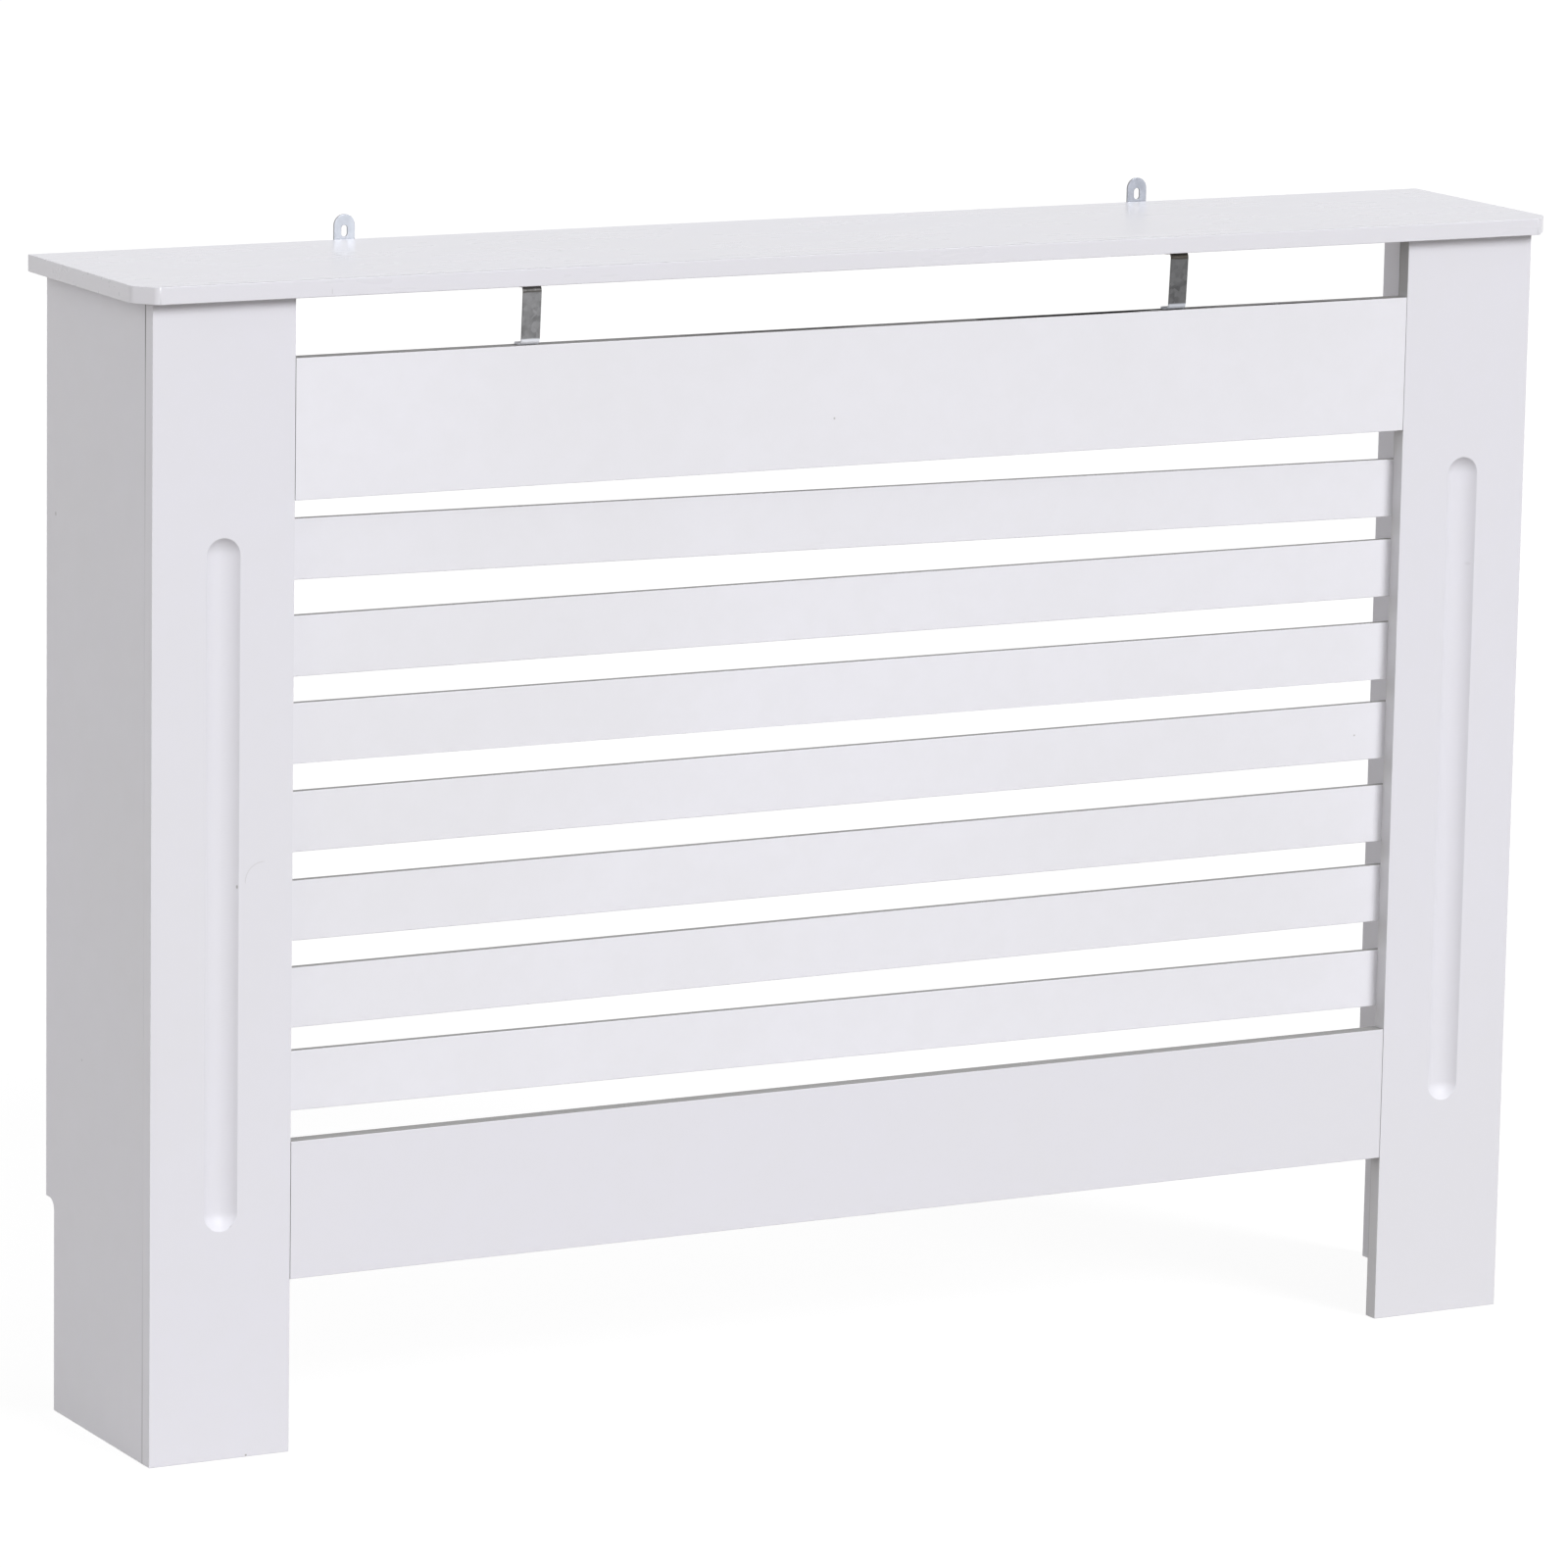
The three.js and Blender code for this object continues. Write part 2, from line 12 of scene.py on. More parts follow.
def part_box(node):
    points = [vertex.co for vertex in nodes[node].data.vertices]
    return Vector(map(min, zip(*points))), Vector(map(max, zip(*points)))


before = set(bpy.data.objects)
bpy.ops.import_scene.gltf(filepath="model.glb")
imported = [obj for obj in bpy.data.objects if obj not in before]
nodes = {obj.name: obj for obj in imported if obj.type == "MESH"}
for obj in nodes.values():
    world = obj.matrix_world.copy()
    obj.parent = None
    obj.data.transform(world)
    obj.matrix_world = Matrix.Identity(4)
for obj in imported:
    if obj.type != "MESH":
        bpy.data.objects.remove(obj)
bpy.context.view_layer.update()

MM = 0.001
SIDES = ("left", "right")
TO_WALL = (0, 1, 0)
BOARD_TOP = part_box("top_board")[1].z

# ------------------------------------------------------------------ camera, from the photograph

CAMERA_PLACE = (-2.749, -5.093, 1.539)
CAMERA_HEADING = 28.214       # degrees, to the right of straight at the wall
CAMERA_DIP = 10.938           # degrees, below the horizon
CAMERA_ROLL = 1.039           # degrees
CAMERA_LENS = 189.47          # mm, on a 36 mm wide sensor
SENSOR_WIDTH = 36.0

# ------------------------------------------------------------------ light and ground

BACKGROUND = 1.0              # what the camera and reflections see of the world
LEFT_LOW_LIGHT = 1.38         # world light on the object, from the left, near the horizon
LEFT_HIGH_LIGHT = 1.32        # the same, from the left and higher
RIGHT_LIGHT = 0.32            # the same, from the right
FRONT_LIGHT = 0.45            # the same, from the front
REAR_LIGHT = 0.42             # the same, from behind
ZENITH_LIGHT = 0.4            # the same, from overhead
# Where one of these passes into the next, on a direction's own x, y or z, from -1 to 1.
LEFT_RISE = (0.1, 0.6)        # z, from the left's low light to its high one
FRONT_TO_REAR = (-0.4, 0.4)   # y
INTO_RIGHT = (0.3, 0.95)      # x
INTO_LEFT = (-0.3, -0.95)     # x
INTO_ZENITH = (0.55, 0.95)    # z
KEY_STRENGTH = 2.22           # low and frontal, a little from the right
KEY_HEADING = 21.0            # degrees, from straight in front to the right
KEY_HEIGHT = 30.0             # degrees, above the horizon
KEY_SOFTNESS = 28.0           # degrees across
KEY_COLOUR = (0.975, 0.98, 1.0)
GROUND_SIZE = 80.0
GROUND_DROP = 0.1 * MM        # clear of the feet
GROUND_BOUNCE = (0.30, 0.28, 0.255)
GROUND_SHADOW = 0.2           # how much of its shading the camera sees
GROUND_GLOW = 0.88            # what the camera sees of it in full shade

# ------------------------------------------------------------------ edges

BOARD_EDGE = 0.4 * MM
SLAT_EDGE = 0.5 * MM
WOOD_EDGE = 0.9 * MM
SHEET_EDGE = 0.25 * MM
SCREW_EDGE = 0.08 * MM
EDGE_STEPS = 3
SHARP_ANGLE = 36.0            # degrees, past which an edge is eased
FLAT_ANGLE = 1.0              # degrees, under which two facets are one face


# ------------------------------------------------------------------ node graphs

class Graph:
    """The node tree of a material or a world, with short calls to add and join its nodes."""

    def __init__(self, owner):
        owner.use_nodes = True
        self.owner = owner
        self.tree = owner.node_tree
        self.tree.nodes.clear()

    def add(self, kind, inputs, **settings):
        node = self.tree.nodes.new(kind)
        for key, value in settings.items():
            setattr(node, key, value)
        for key, value in inputs.items():
            socket = node.inputs[key]
            if isinstance(value, bpy.types.NodeSocket):
                self.tree.links.new(value, socket)
            else:
                socket.default_value = value
        return node

    def math(self, operation, a, b=0.0):
        return self.add("ShaderNodeMath", {0: a, 1: b}, operation=operation).outputs[0]

    def times(self, product, *others):
        for other in others:
            product = self.math("MULTIPLY", product, other)
        return product

    def ramp(self, value, low, high, start=0.0, end=1.0):
        """value from low to high, as a smooth step from start to end."""
        inputs = {"Value": value, "From Min": low, "From Max": high}
        inputs |= {"To Min": start, "To Max": end}
        return self.add("ShaderNodeMapRange", inputs, interpolation_type="SMOOTHSTEP").outputs[0]

    def between(self, share, first, second):
        """The number that lies share of the way from first to second."""
        inputs = {"Value": share, "To Min": first, "To Max": second}
        return self.add("ShaderNodeMapRange", inputs).outputs[0]

    def split(self, vector):
        return self.add("ShaderNodeSeparateXYZ", {"Vector": vector}).outputs

    def off(self, value, middle):
        """How far value is from middle, either way."""
        return self.math("ABSOLUTE", self.math("SUBTRACT", value, middle))

    def mix(self, share, first, second):
        """The colour that lies share of the way from first to second."""
        inputs = {0: share}
        for index, colour in ((6, first), (7, second)):
            inputs[index] = (*colour, 1.0) if isinstance(colour, tuple) else colour
        return self.add("ShaderNodeMix", inputs, data_type="RGBA").outputs[2]

    def place(self, stretch=(1.0, 1.0, 1.0), shift=(0.0, 0.0, 0.0)):
        """The surface point in metres, squeezed along an axis by stretch."""
        coordinates = self.add("ShaderNodeTexCoord", {}).outputs["Object"]
        inputs = {"Vector": coordinates, "Scale": stretch, "Location": shift}
        return self.add("ShaderNodeMapping", inputs).outputs[0]

    def facing(self, axis):
        """How squarely the surface faces along an axis, from 0 to 1."""
        normal = self.add("ShaderNodeTexCoord", {}).outputs["Normal"]
        product = self.add("ShaderNodeVectorMath", {0: normal, 1: axis}, operation="DOT_PRODUCT")
        return self.math("ABSOLUTE", product.outputs["Value"])

    def noise(self, size, detail=2.0, rough=0.5, stretch=(1.0, 1.0, 1.0)):
        """Noise whose features are about size metres across."""
        inputs = {"Vector": self.place(stretch), "Scale": 1.0 / size}
        inputs |= {"Detail": detail, "Roughness": rough}
        return self.add("ShaderNodeTexNoise", inputs).outputs["Fac"]

    def cells(self, size):
        """Cells about size metres across. Distances in them are shares of size."""
        inputs = {"Vector": self.place(), "Scale": 1.0 / size}
        return self.add("ShaderNodeTexVoronoi", inputs).outputs

    def grains(self, size):
        """A number from 0 to 1 for each of the cells."""
        return self.add("ShaderNodeSeparateColor", {"Color": self.cells(size)["Color"]}).outputs[0]

    def length(self, vector):
        return self.add("ShaderNodeVectorMath", {0: vector}, operation="LENGTH").outputs["Value"]

    def blot(self, place, reach):
        """A soft-edged spot round a place, 1 in its middle, with its half size along each axis."""
        squeeze = tuple(1.0 / size for size in reach)
        centre = tuple(-at / size for at, size in zip(place, reach))
        return self.ramp(self.length(self.place(squeeze, centre)), 1.2, 0.5)

    def bump(self, height, depth, below=None):
        """Relief of a height from 0 to 1 times depth, over the relief below."""
        inputs = {"Height": height, "Distance": depth}
        if below is not None:
            inputs["Normal"] = below
        return self.add("ShaderNodeBump", inputs).outputs[0]

    def seen(self):
        """1 for rays from the camera and in reflections, 0 for light on the object."""
        path = self.add("ShaderNodeLightPath", {}).outputs
        return self.math("MAXIMUM", path["Is Camera Ray"], path["Is Glossy Ray"])

    def finish(self, **inputs):
        """Ends in a principled shader. Names of inputs have _ for a space."""
        named = {key.replace("_", " "): value for key, value in inputs.items()}
        shader = self.add("ShaderNodeBsdfPrincipled", named)
        self.add("ShaderNodeOutputMaterial", {"Surface": shader.outputs[0]})
        return self.owner


def new_material(name):
    return Graph(bpy.data.materials.new(name))


# ------------------------------------------------------------------ materials

PAINT = (0.79, 0.784, 0.838)
# Painted light: a lighter copy of the same white paint, for the upper rail and slats, which show
# brighter than the rest.
PAINT_PALE = (0.85, 0.846, 0.895)
PAINT_CLOUD = (0.765, 0.762, 0.78)
PAINT_REVEAL_SHADE = (0.68, 0.675, 0.70)      # painted shade: upright sawn edges inside the frame, which lie in shade
PAINT_EDGE_SHADE = (0.36, 0.355, 0.35)     # painted shade: upper edges of rails and slats, which lie in shade under the board and the pieces above
EDGE_SHADE_HEIGHT = 0.762                  # above this, upright inner edges go half way to that painted shade too, under the board
EDGE_SHADE_FADE = 4 * MM
PAINT_SPECK = (0.36, 0.35, 0.34)
PAINT_ROUGH = (0.42, 0.5)
BOARD_ROUGH = (0.27, 0.30)            # the top board is glossier
SAWN_ROUGH = 0.12                     # what a sawn edge adds to its roughness
INNER_REACH = 0.50                    # edges nearer to the middle than this are inner ones
INNER_FADE = 10 * MM
CLOUD_SIZE = 0.35
MOTTLE_SIZE = 0.02
STREAK_SIZE = 0.012
SPECK_SPACING = 0.09
SPECK_REACH = (0.008, 0.004)          # shares of their spacing where specks start and are full
SPECK_PATCHES = 0.11                  # size of the patches that hold specks
PEEL_SIZE, PEEL_DEPTH = 2.2 * MM, 0.012 * MM
DUST_SIZE, DUST_DEPTH = 0.5 * MM, 0.004 * MM
FIBRE_SIZE, FIBRE_DEPTH = 1.1 * MM, 0.10 * MM
SEAM_DARK = (0.12, 0.115, 0.11)
SEAM_WIDTH = 1.3 * MM
# The seam opens from the first height of each row to the second, by the share that comes third.
SEAM_OPENINGS = ((0.57, 0.80, 0.4), (0.74, 0.79, 0.45), (0.18, 0.0, 0.4))
SCRATCH_X = -0.463                    # middle of the curved scratch on the left pilaster
SCRATCH_Z = 0.404
SCRATCH_RADIUS = 13.2 * MM
SCRATCH_DARK = (0.45, 0.44, 0.43)
SCRATCH_SHARE = 0.25

# Small blemishes in the paint: where, how far along each axis, and how strong.
FRONT_MARKS = (
    ((-0.028, -0.086, 0.698), (0.9 * MM, 4 * MM, 0.9 * MM), 0.6),      # speck on the upper rail
    ((0.494, -0.084, 0.560), (2.0 * MM, 4 * MM, 1.2 * MM), 0.25),      # smudges in the right flute
    ((0.502, -0.084, 0.562), (2.4 * MM, 4 * MM, 1.6 * MM), 0.12),
    ((-0.482, -0.086, 0.401), (0.7 * MM, 3 * MM, 1.6 * MM), 0.7),      # chip beside the left flute
    ((-0.4735, -0.086, 0.0012), (0.9 * MM, 4 * MM, 0.8 * MM), 0.8),    # dot on the left foot
    ((0.415, -0.074, 0.439), (1.0 * MM, 4 * MM, 0.8 * MM), 0.5),       # speck on a slat
)
SIDE_MARKS = (
    ((-0.546, 0.078, 0.637), (4 * MM, 1.4 * MM, 1.7 * MM), 0.5),
    ((-0.546, 0.031, 0.262), (4 * MM, 1.2 * MM, 1.0 * MM), 0.3),
)
TOP_MARKS = (
    ((-0.208, -0.015, 0.815), (1.1 * MM, 2.6 * MM, 4 * MM), 0.45),     # speck on the board
    ((-0.419, -0.096, 0.8065), (0.5 * MM, 4 * MM, 2.2 * MM), 0.25),    # nick in its front edge
    ((0.5595, -0.028, 0.8145), (2.5 * MM, 2.5 * MM, 1.0 * MM), 0.6),   # chip at its right end
)


def white_paint(name, face, inner=None, marks=(), rough=PAINT_ROUGH, seam=None):
    """Satin paint sprayed on fibreboard.

    The edges inside the frame, on a piece that has them, are of the colour inner, a painted shade,
    and near the top go half way to a darker painted shade. A seam is a dark line at that y, more
    open towards both ends.
    """
    g = new_material(name)
    x, y, z = g.split(g.place())
    cloud = g.ramp(g.noise(CLOUD_SIZE, 3.0), 0.35, 0.7, 0.0, 0.35)
    mottle = g.ramp(g.noise(MOTTLE_SIZE, 3.0, 0.6), 0.3, 0.7, 0.0, 0.15)
    colour = g.mix(mottle, g.mix(cloud, face, PAINT_CLOUD), PAINT_CLOUD)
    sawn_and_shaded = 0.0
    if inner is not None:
        edge = g.ramp(g.facing(TO_WALL), 0.55, 0.35)
        inside = g.ramp(g.math("ABSOLUTE", x), INNER_REACH, INNER_REACH - INNER_FADE)
        # Painted shade: the inner edges take the darker colour inner. The same mask gives them a
        # rougher, fibrous sawn surface.
        sawn_and_shaded = g.times(edge, inside)
        # Painted shade: near the top, under the board, inner edges go half way to the edge shade.
        shade_near_top = g.ramp(z, EDGE_SHADE_HEIGHT - EDGE_SHADE_FADE, EDGE_SHADE_HEIGHT + EDGE_SHADE_FADE, 0.0, 0.5)
        colour = g.mix(sawn_and_shaded, colour, g.mix(shade_near_top, inner, PAINT_EDGE_SHADE))
    spot = g.ramp(g.cells(SPECK_SPACING)["Distance"], *SPECK_REACH)
    rare = g.ramp(g.noise(SPECK_PATCHES, 0.0), 0.56, 0.6)
    colour = g.mix(g.times(spot, rare, 0.35), colour, PAINT_SPECK)
    for place, reach, strength in marks:
        colour = g.mix(g.times(g.blot(place, reach), strength), colour, PAINT_SPECK)
    if seam is not None:
        line = g.ramp(g.off(y, seam), SEAM_WIDTH, 0.2 * SEAM_WIDTH)
        openness = 0.0
        for start, end, share in SEAM_OPENINGS:
            openness = g.math("ADD", openness, g.ramp(z, start, end, 0.0, share))
        colour = g.mix(g.times(line, openness), colour, SEAM_DARK)
    colour = g.mix(scratch(g, x, z), colour, SCRATCH_DARK)

    streak = g.noise(STREAK_SIZE, 3.0, 0.6, (0.12, 1.0, 1.0))
    gloss = g.math("ADD", g.ramp(streak, 0.3, 0.7, *rough), g.times(sawn_and_shaded, SAWN_ROUGH))

    peel = g.bump(g.noise(PEEL_SIZE, 2.0, 0.45), PEEL_DEPTH)
    dust = g.bump(g.noise(DUST_SIZE, 1.0), DUST_DEPTH, peel)
    fibre = g.noise(FIBRE_SIZE, 4.0, 0.65, (0.3, 1.0, 1.0))
    fuzz = g.bump(g.times(fibre, sawn_and_shaded), FIBRE_DEPTH, dust)
    return g.finish(Base_Color=colour, Roughness=gloss, Normal=fuzz, Specular_IOR_Level=0.4)


def scratch(g, x, z):
    """A faint quarter of a ring, up and to the left of its middle."""
    across = g.math("SUBTRACT", x, SCRATCH_X)
    up = g.math("SUBTRACT", z, SCRATCH_Z)
    squares = g.math("ADD", g.times(across, across), g.times(up, up))
    ring = g.ramp(g.off(g.math("SQRT", squares), SCRATCH_RADIUS), 0.6 * MM, 0.2 * MM)
    quarter = g.times(g.ramp(across, 2 * MM, -1 * MM), g.ramp(up, -2 * MM, 1 * MM))
    return g.times(ring, quarter, SCRATCH_SHARE)


# Dark and light grains of each strap, painted darker than the bare steel for the dark surroundings
# it reflects, then the painted shade above its top bend and the painted highlight on its foot.
STRAP_TONES = {
    "left": ((0.14, 0.14, 0.142), (0.255, 0.255, 0.26), (0.225, 0.22, 0.215), (0.90, 0.92, 0.98)),
    "right": ((0.08, 0.08, 0.082), (0.14, 0.14, 0.143), (0.11, 0.10, 0.085), (0.62, 0.65, 0.71)),
}
SPANGLE_SIZE = 3.2 * MM
# Painted shade: a dark line where a strap starts to bend back under the board.
CREASE_SHADE = (0.05, 0.045, 0.04)
CREASE_DROP = 4.6 * MM                # below the top of a strap
CREASE_WIDTH = 1 * MM
CREASE_WAVE = 1 * MM
FOOT_FADE = (5.2 * MM, 3.4 * MM)      # above the bottom, where a strap's foot starts and is full

# Dull and bright patches of each wall tab. The two are the same plate; the right tab's darker tones
# are painted, for the duller reflection it shows.
TAB_TONES = {
    "left": ((0.475, 0.50, 0.545), (0.53, 0.555, 0.60)),
    "right": ((0.375, 0.395, 0.44), (0.44, 0.46, 0.51)),
}
RIM_DARK = (0.26, 0.26, 0.27)         # cut edges of a wall tab above the board

SCREW_BRIGHT = (0.78, 0.77, 0.72)
SCREW_DULL = (0.58, 0.56, 0.51)


def strap_steel(name, dark, light, bend_shade, foot_highlight):
    """Dull galvanised sheet: fine spangle and rolling marks, painted shade at the top bend (a dark
    crease line and a darker band above it) and a painted highlight on the foot.
    """
    g = new_material(name)
    low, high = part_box("front_strap_left")
    grains = g.grains(SPANGLE_SIZE)
    cloud = g.ramp(g.noise(9 * MM, 3.0, 0.6), 0.3, 0.7, 0.0, 0.6)
    colour = g.mix(cloud, g.mix(grains, dark, light), light)
    height = g.split(g.place())[2]
    level = g.math("ADD", height, g.times(g.noise(6 * MM, 2.0), CREASE_WAVE))
    crease_low = high.z - CREASE_DROP
    crease_high = crease_low + CREASE_WIDTH
    above = g.ramp(level, crease_low - 0.6 * MM, crease_low + 0.4 * MM)
    below = g.ramp(level, crease_high + 0.6 * MM, crease_high - 0.4 * MM)
    # Painted shade of the top bend under the board: a darker band above the crease, and a dark line
    # along it.
    colour = g.mix(above, colour, bend_shade)
    colour = g.mix(g.times(above, below, 0.7), colour, CREASE_SHADE)
    # Painted highlight: the foot is lighter and less metallic, for the bright light it catches.
    foot = g.ramp(height, *(low.z + rise for rise in FOOT_FADE))
    colour = g.mix(foot, colour, foot_highlight)
    rough = g.ramp(grains, 0.0, 1.0, 0.42, 0.56)
    rolling = g.noise(0.5 * MM, 2.0, 0.5, (0.06, 1.0, 1.0))
    normal = g.bump(grains, 0.012 * MM)
    normal = g.bump(rolling, 0.006 * MM, normal)
    metal = g.between(foot, 0.9, 0.2)
    return g.finish(Base_Color=colour, Metallic=metal, Roughness=rough, Normal=normal)


def zinc_plate(name, dull, bright):
    """Zinc-plated sheet with fine drawn lines, faint bluish patches and darker cut edges."""
    g = new_material(name)
    cloud = g.noise(7 * MM, 3.0, 0.6)
    colour = g.mix(g.ramp(cloud, 0.3, 0.7), dull, bright)
    proud = g.ramp(g.split(g.place())[2], BOARD_TOP - 1 * MM, BOARD_TOP)
    rim = g.times(g.ramp(g.facing(TO_WALL), 0.85, 0.5), proud)
    colour = g.mix(rim, colour, RIM_DARK)
    lines = g.noise(0.45 * MM, 2.0, 0.5, (1.0, 1.0, 0.07))
    rough = g.math("ADD", g.ramp(cloud, 0.3, 0.7, 0.3, 0.42), g.times(lines, 0.06))
    normal = g.bump(lines, 0.008 * MM)
    return g.finish(Base_Color=colour, Metallic=0.92, Roughness=rough, Normal=normal)


def screw_zinc(name):
    """Zinc-plated screws, a touch yellow, with small dull patches."""
    g = new_material(name)
    patch = g.noise(1.4 * MM, 3.0, 0.6)
    colour = g.mix(g.ramp(patch, 0.4, 0.65), SCREW_BRIGHT, SCREW_DULL)
    rough = g.ramp(patch, 0.35, 0.7, 0.24, 0.42)
    normal = g.bump(g.noise(0.35 * MM, 1.0), 0.01 * MM)
    return g.finish(Base_Color=colour, Metallic=1.0, Roughness=rough, Normal=normal)


WOOD_DEEP = (0.62, 0.45, 0.26)
WOOD_PALE = (0.70, 0.54, 0.34)
WOOD_LATE = (0.42, 0.24, 0.10)        # the darker part of each growth ring
WOOD_FLECK = (0.40, 0.25, 0.12)
WOOD_PITH = (0.585, 0.03, 0.83)       # middle of the rings, how far from the origin along each axis
RING_WIDTH = 2.6 * MM
RING_WAVE = 9 * MM
BEECH_DEEP = (0.58, 0.37, 0.19)
BEECH_PALE = (0.66, 0.45, 0.25)
BEECH_FLECK = (0.38, 0.20, 0.09)


def softwood(name, along):
    """Planed softwood: growth rings round a pith beside the piece, and a few darker flecks."""
    g = new_material(name)
    squeeze = tuple(0.045 if i == along else 1.0 for i in range(3))
    pith = tuple(0.0 if i == along else WOOD_PITH[i] for i in range(3))
    point = g.place(tuple(0.02 if i == along else 1.0 for i in range(3)))
    across = g.add("ShaderNodeVectorMath", {0: point}, operation="ABSOLUTE").outputs[0]
    reach = g.add("ShaderNodeVectorMath", {0: across, 1: pith}, operation="SUBTRACT").outputs[0]
    wave = g.times(g.noise(0.03, 2.0, 0.5, squeeze), RING_WAVE)
    radius = g.math("ADD", g.length(reach), wave)
    turn = g.math("FRACT", g.times(radius, 1.0 / RING_WIDTH))
    late = g.times(g.ramp(turn, 0.35, 0.85), g.ramp(turn, 1.0, 0.93))
    fleck = g.noise(1.2 * MM, 3.0, 0.7, squeeze)
    colour = g.mix(g.noise(0.05, 3.0, 0.5, squeeze), WOOD_DEEP, WOOD_PALE)
    colour = g.mix(g.times(late, 0.75), colour, WOOD_LATE)
    colour = g.mix(g.ramp(fleck, 0.5, 0.75, 0.0, 0.45), colour, WOOD_FLECK)
    rough = g.ramp(late, 0.0, 1.0, 0.68, 0.52)
    normal = g.bump(late, 0.03 * MM)
    normal = g.bump(fleck, 0.06 * MM, normal)
    return g.finish(Base_Color=colour, Roughness=rough, Normal=normal)


def beech(name):
    """Beech dowel: fine short flecks along its length."""
    g = new_material(name)
    fleck = g.noise(0.5 * MM, 3.0, 0.7, (0.12, 1.0, 1.0))
    colour = g.mix(g.noise(6 * MM, 2.0, 0.5, (0.3, 1.0, 1.0)), BEECH_DEEP, BEECH_PALE)
    colour = g.mix(g.ramp(fleck, 0.5, 0.72, 0.0, 0.6), colour, BEECH_FLECK)
    return g.finish(Base_Color=colour, Roughness=0.6, Normal=g.bump(fleck, 0.03 * MM))


# ------------------------------------------------------------------ dressing the pieces

def dress(name, material, edge):
    """Gives a piece its material and eased edges. Its mesh stays as it is, under modifiers."""
    piece = nodes[name]
    piece.data.materials.clear()
    piece.data.materials.append(material)
    piece.data.polygons.foreach_set("use_smooth", [True] * len(piece.data.polygons))
    weld = piece.modifiers.new("weld", "WELD")
    weld.merge_threshold = 0.001 * MM
    flats = piece.modifiers.new("flats", "DECIMATE")
    flats.decimate_type = "DISSOLVE"
    flats.angle_limit = math.radians(FLAT_ANGLE)
    bevel = piece.modifiers.new("edges", "BEVEL")
    bevel.width = edge
    bevel.segments = EDGE_STEPS
    bevel.limit_method = "ANGLE"
    bevel.angle_limit = math.radians(SHARP_ANGLE)
    bevel.use_clamp_overlap = False
    bevel.miter_outer = "MITER_ARC"
    shading = piece.modifiers.new("shading", "WEIGHTED_NORMAL")
    shading.keep_sharp = True


def dress_boards():
    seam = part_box("side_panel_left")[0].y
    pilaster = white_paint("white_paint_pilaster", PAINT, PAINT_REVEAL_SHADE, FRONT_MARKS, seam=seam)
    side = white_paint("white_paint_side", PAINT, marks=SIDE_MARKS, seam=seam)
    top = white_paint("white_paint_top", PAINT, marks=TOP_MARKS, rough=BOARD_ROUGH)
    upper = white_paint("white_paint_rail", PAINT_PALE, PAINT_EDGE_SHADE, FRONT_MARKS)
    lower = white_paint("white_paint_lower_rail", PAINT, PAINT_EDGE_SHADE, FRONT_MARKS)
    dress("top_board", top, BOARD_EDGE)
    dress("upper_rail", upper, BOARD_EDGE)
    dress("lower_rail", lower, BOARD_EDGE)
    for side_name in SIDES:
        dress(f"side_panel_{side_name}", side, BOARD_EDGE)
        dress(f"pilaster_{side_name}", pilaster, BOARD_EDGE)
    for name in nodes:
        if name.startswith("slat_") and "screw" not in name:
            dress(name, upper, SLAT_EDGE)


def dress_metal_and_wood():
    screw = screw_zinc("zinc_screw")
    dowel = beech("beech_dowel")
    batten = softwood("softwood_upright", 2)
    cleat = softwood("softwood_level", 1)
    for side_name in SIDES:
        strap = strap_steel(f"galvanised_{side_name}", *STRAP_TONES[side_name])
        tab = zinc_plate(f"zinc_plate_{side_name}", *TAB_TONES[side_name])
        dress(f"front_strap_{side_name}", strap, SHEET_EDGE)
        dress(f"wall_tab_{side_name}", tab, SHEET_EDGE)
        dress(f"corner_batten_{side_name}", batten, WOOD_EDGE)
        dress(f"top_cleat_{side_name}", cleat, WOOD_EDGE)
    for name in nodes:
        if "_screw_" in name:
            dress(name, screw, SCREW_EDGE)
        elif "_dowel_" in name:
            dress(name, dowel, SCREW_EDGE)


# ------------------------------------------------------------------ camera, light and ground

def make_camera():
    data = bpy.data.cameras.new("camera")
    data.lens = CAMERA_LENS
    data.sensor_width = SENSOR_WIDTH
    data.sensor_fit = "HORIZONTAL"
    camera = bpy.data.objects.new("camera", data)
    bpy.context.scene.collection.objects.link(camera)
    turn = Matrix.Rotation(-math.radians(CAMERA_HEADING), 4, "Z")
    tip = Matrix.Rotation(math.radians(90.0 - CAMERA_DIP), 4, "X")
    roll = Matrix.Rotation(math.radians(CAMERA_ROLL), 4, "Z")
    camera.matrix_world = Matrix.Translation(CAMERA_PLACE) @ turn @ tip @ roll
    bpy.context.scene.camera = camera


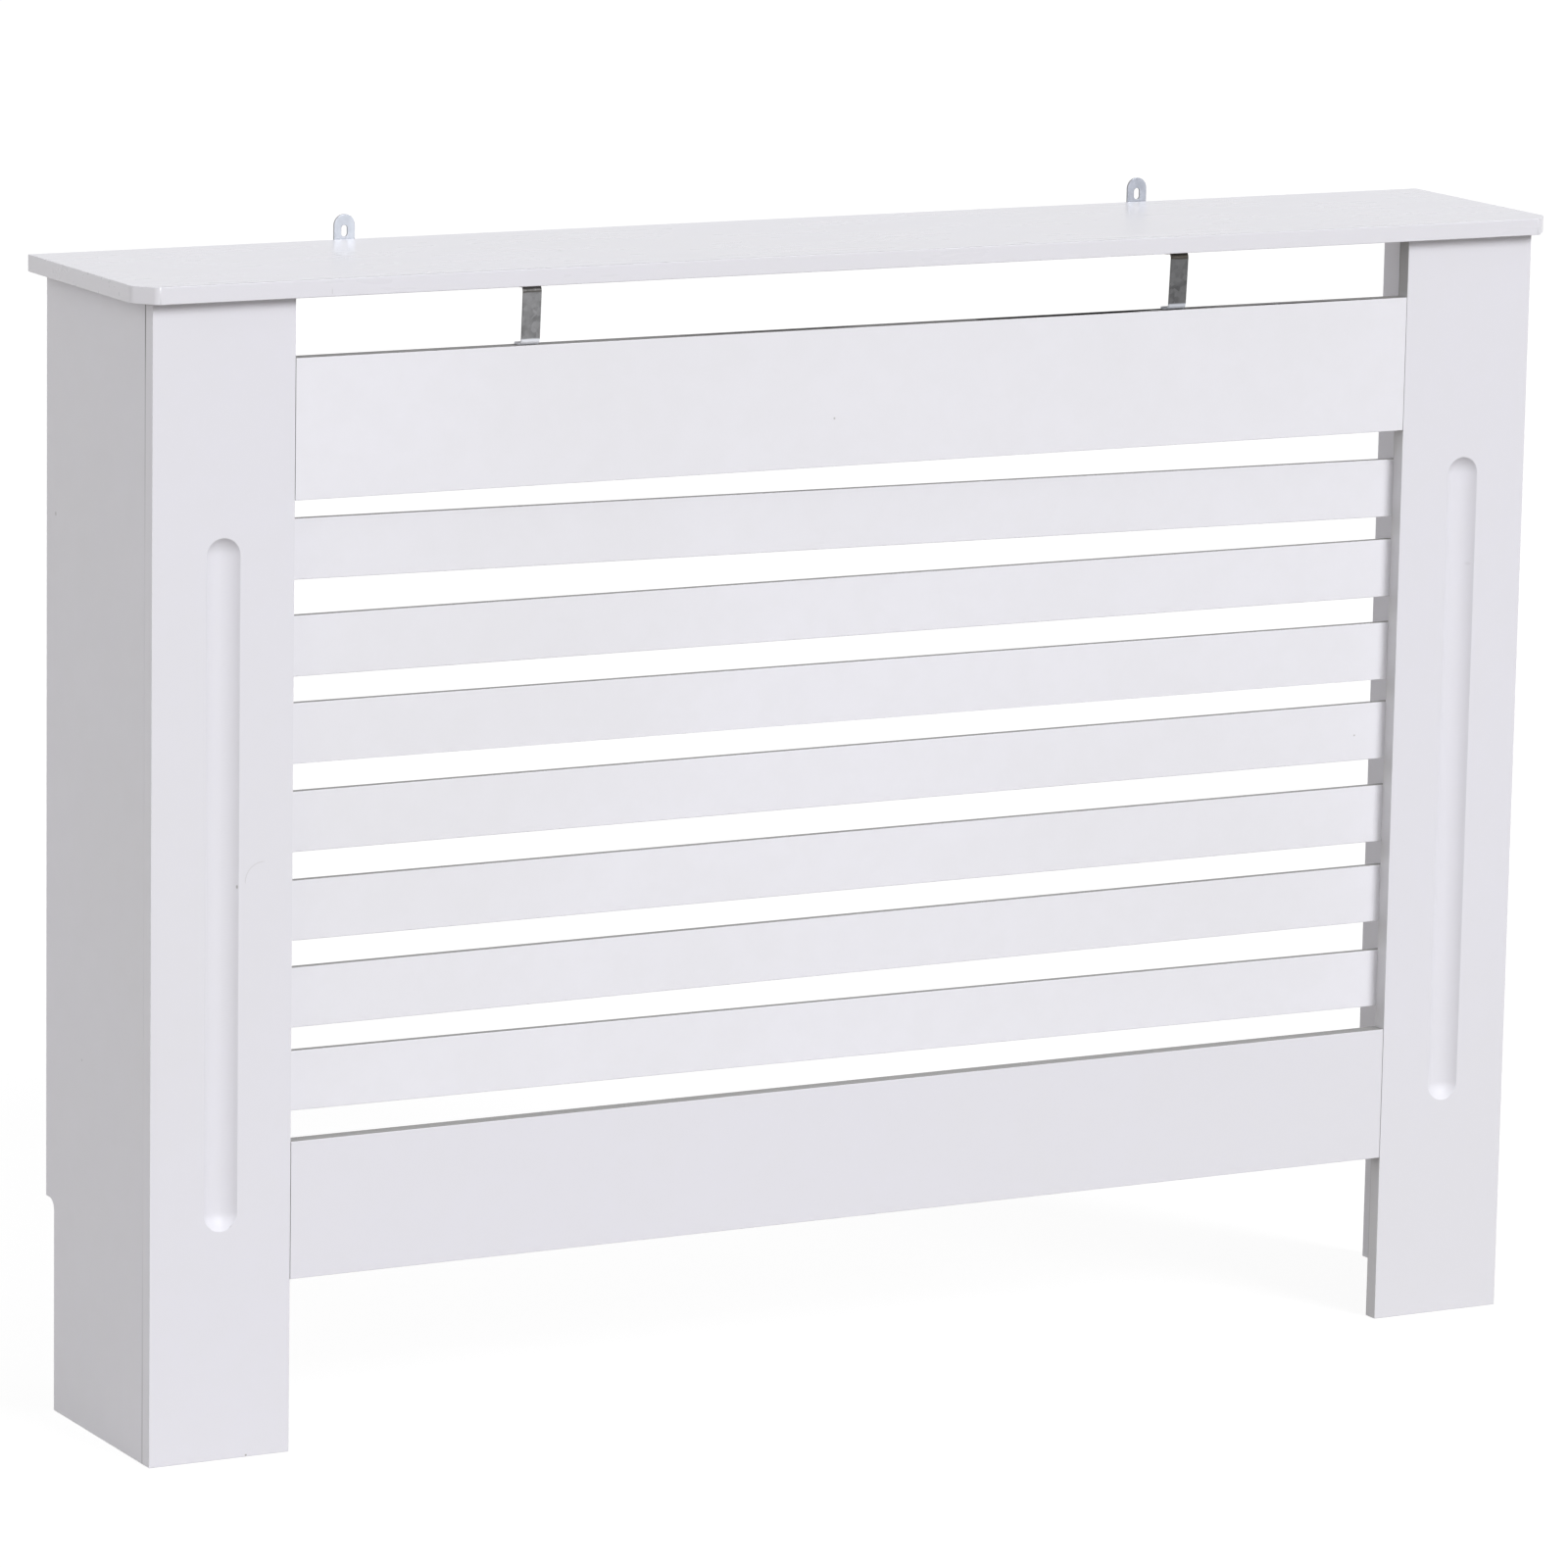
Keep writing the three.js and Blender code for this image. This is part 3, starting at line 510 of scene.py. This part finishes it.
def make_key_lamp():
    """A distant soft lamp, which gives the front its light."""
    data = bpy.data.lights.new("key", "SUN")
    data.energy = KEY_STRENGTH
    data.angle = math.radians(KEY_SOFTNESS)
    data.color = KEY_COLOUR
    lamp = bpy.data.objects.new("key", data)
    bpy.context.scene.collection.objects.link(lamp)
    a, e = math.radians(KEY_HEADING), math.radians(KEY_HEIGHT)
    towards = Vector((math.sin(a) * math.cos(e), -math.cos(a) * math.cos(e), math.sin(e)))
    lamp.rotation_mode = "QUATERNION"
    lamp.rotation_quaternion = towards.to_track_quat("Z", "Y")


def make_world():
    """White all round to the eye. It lights mostly the left, for the front has the key lamp."""
    world = bpy.data.worlds.new("studio")
    bpy.context.scene.world = world
    g = Graph(world)
    x, y, z = g.split(g.add("ShaderNodeTexCoord", {}).outputs["Generated"])
    left = g.between(g.ramp(z, *LEFT_RISE), LEFT_LOW_LIGHT, LEFT_HIGH_LIGHT)
    light = g.between(g.ramp(y, *FRONT_TO_REAR), FRONT_LIGHT, REAR_LIGHT)
    light = g.between(g.ramp(x, *INTO_RIGHT), light, RIGHT_LIGHT)
    light = g.between(g.ramp(x, *INTO_LEFT), light, left)
    light = g.between(g.ramp(z, *INTO_ZENITH), light, ZENITH_LIGHT)
    inputs = {"Color": (1.0, 1.0, 1.0, 1.0), "Strength": g.between(g.seen(), light, BACKGROUND)}
    background = g.add("ShaderNodeBackground", inputs)
    g.add("ShaderNodeOutputWorld", {"Surface": background.outputs[0]})


def make_ground():
    """A white floor that keeps a faint shadow. What is seen of it is lifted to white."""
    g = new_material("ground")
    seen = g.seen()
    albedo = g.mix(seen, GROUND_BOUNCE, (GROUND_SHADOW,) * 3)
    matt = g.add("ShaderNodeBsdfDiffuse", {"Color": albedo})
    glow = g.add("ShaderNodeEmission", {"Strength": g.times(seen, GROUND_GLOW)})
    both = g.add("ShaderNodeAddShader", {0: matt.outputs[0], 1: glow.outputs[0]})
    g.add("ShaderNodeOutputMaterial", {"Surface": both.outputs[0]})
    half = GROUND_SIZE / 2
    mesh = bpy.data.meshes.new("ground")
    outline = ((-half, -half), (half, -half), (half, half), (-half, half))
    mesh.from_pydata([(x, y, -GROUND_DROP) for x, y in outline], [], [(0, 1, 2, 3)])
    mesh.materials.append(g.owner)
    ground = bpy.data.objects.new("ground", mesh)
    bpy.context.scene.collection.objects.link(ground)


make_camera()
make_world()
make_key_lamp()
make_ground()
dress_boards()
dress_metal_and_wood()
bpy.context.scene.view_settings.view_transform = "Standard"
